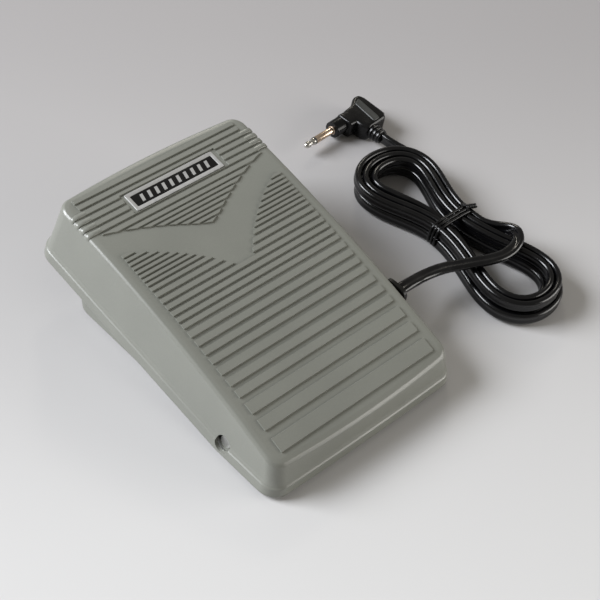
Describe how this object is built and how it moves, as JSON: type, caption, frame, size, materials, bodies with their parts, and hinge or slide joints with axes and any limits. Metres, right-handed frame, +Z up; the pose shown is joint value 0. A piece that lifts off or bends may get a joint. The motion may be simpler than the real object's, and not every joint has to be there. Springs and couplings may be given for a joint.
{
  "type": "sewing machine foot control pedal",
  "caption": "Ribbed treadle cover hinged over a flat base tray with a sprung speed control, a side cord gland, a tied hank of flat twin cord and a right-angle jack plug.",
  "frame": {"origin": "on the floor, under the middle of the treadle cover's outline", "axes": "+Z up; +Y along the pedal, from its thin toe end to its tall end; +X to the side that the cord leaves from"},
  "size_m": [0.1952, 0.1496, 0.0471],
  "materials": {
    "grey_plastic": "fine-grained grey-green moulded plastic, slightly glossy on the ribs",
    "label_silver": "silver-framed plate with a black field",
    "tray_plastic": "grey moulded plastic",
    "pin_steel": "turned steel pin",
    "spring_steel": "drawn spring wire",
    "washer_rubber": "black rubber washer",
    "screw_steel": "zinc-plated screw",
    "board_laminate": "phenolic board",
    "case_plastic": "black moulded case",
    "lid_plastic": "cream moulded lid",
    "strip_carbon": "carbon track on a thin strip",
    "plunger_plastic": "natural moulded plastic",
    "wiper_brass": "sprung brass fingers",
    "capacitor_sleeve": "blue shrink sleeve",
    "resistor_body": "tan lacquered resistor",
    "terminal_plastic": "green moulded terminal block",
    "core_insulation": "coloured core insulation",
    "clamp_plastic": "grey moulded clamp",
    "foot_rubber": "black rubber foot",
    "gland_rubber": "glossy black moulded gland",
    "cord_pvc": "glossy black flat twin cord",
    "tie_plastic": "black plastic-coated wire tie",
    "plug_plastic": "glossy black moulded plug",
    "jack_nickel": "nickel-plated shank with a warm tint",
    "ring_plastic": "black insulating ring"
  },
  "bodies": {
    "base": {"base_tray": "tray_plastic", "hinge_pins": "pin_steel", "return_spring_left": "spring_steel", "return_spring_right": "spring_steel", "stop_washers": "washer_rubber", "circuit_board": "board_laminate", "board_screws": "screw_steel", "control_case": "case_plastic", "control_lid": "lid_plastic", "resistor_strip": "strip_carbon", "plunger_spring": "spring_steel", "capacitor": "capacitor_sleeve", "resistors": "resistor_body", "terminal_block": "terminal_plastic", "lead_wires": "core_insulation", "cord_clamp": "clamp_plastic", "clamp_screws": "screw_steel", "rubber_feet": "foot_rubber", "cord_gland": "gland_rubber", "cord_lead": "cord_pvc", "cord_hank": "cord_pvc", "cord_tail": "cord_pvc", "cord_tie": "tie_plastic", "plug_body": "plug_plastic", "plug_sleeve": "jack_nickel", "plug_ring": "ring_plastic", "plug_tip": "jack_nickel"},
    "treadle": {"treadle_cover": "grey_plastic", "label_plate": "label_silver", "limit_screws": "screw_steel"},
    "plunger": {"plunger": "plunger_plastic", "wiper": "wiper_brass"}
  },
  "joints": [
    {"name": "treadle_hinge", "type": "hinge", "parent": "base", "child": "treadle", "pos_m": [0, -0.0424, 0.007], "axis": [-1, 0, 0], "range_deg": [0, 5.5], "stiffness_Nm_per_rad": 6, "springref_deg": -6.88, "deforming": ["return_spring_left", "return_spring_right"]},
    {"name": "plunger_slide", "type": "slide", "parent": "base", "child": "plunger", "axis": [0, 0, -1], "range_m": [0, 0.0049], "deforming": ["plunger_spring"]}
  ],
  "couplings": [
    {"joint": "plunger_slide", "follows": "treadle_hinge", "m_per_rad": 0.05}
  ]
}
